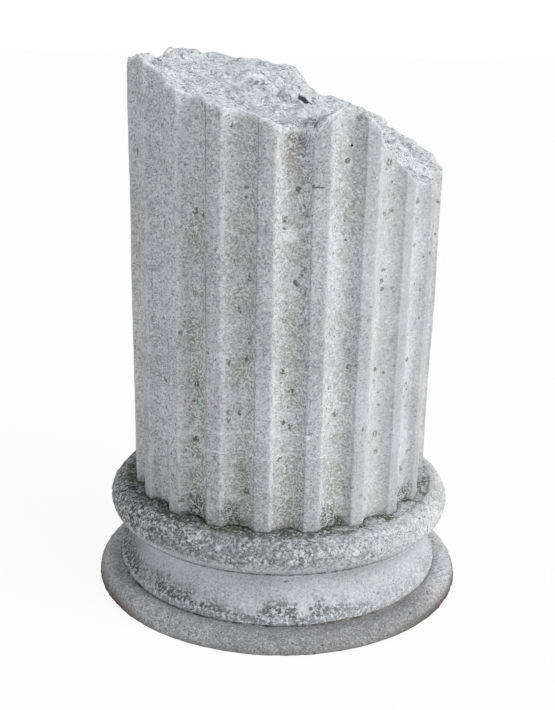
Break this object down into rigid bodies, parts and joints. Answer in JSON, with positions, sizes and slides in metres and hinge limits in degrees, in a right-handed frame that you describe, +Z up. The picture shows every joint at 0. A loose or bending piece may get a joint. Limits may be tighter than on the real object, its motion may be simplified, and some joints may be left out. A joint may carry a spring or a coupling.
{
  "type": "broken fluted column stub",
  "caption": "Stub of a fluted stone column, snapped off at a slant, on its round moulded base cut flat at the ground.",
  "frame": {"origin": "centre of the flat underside, on the column's axis", "axes": "+Z up the column's axis, -Y towards the front, the break falls towards +X"},
  "size_m": [0.8119, 0.812, 1.1251],
  "materials": {
    "shaft": "weathered grey marble with lichen spots and thin green algae in the flutes",
    "base": "rough weathered grey marble, black lichen and dirt in the hollows"
  },
  "bodies": {
    "root": {"shaft": "shaft", "base": "base"}
  },
  "joints": []
}
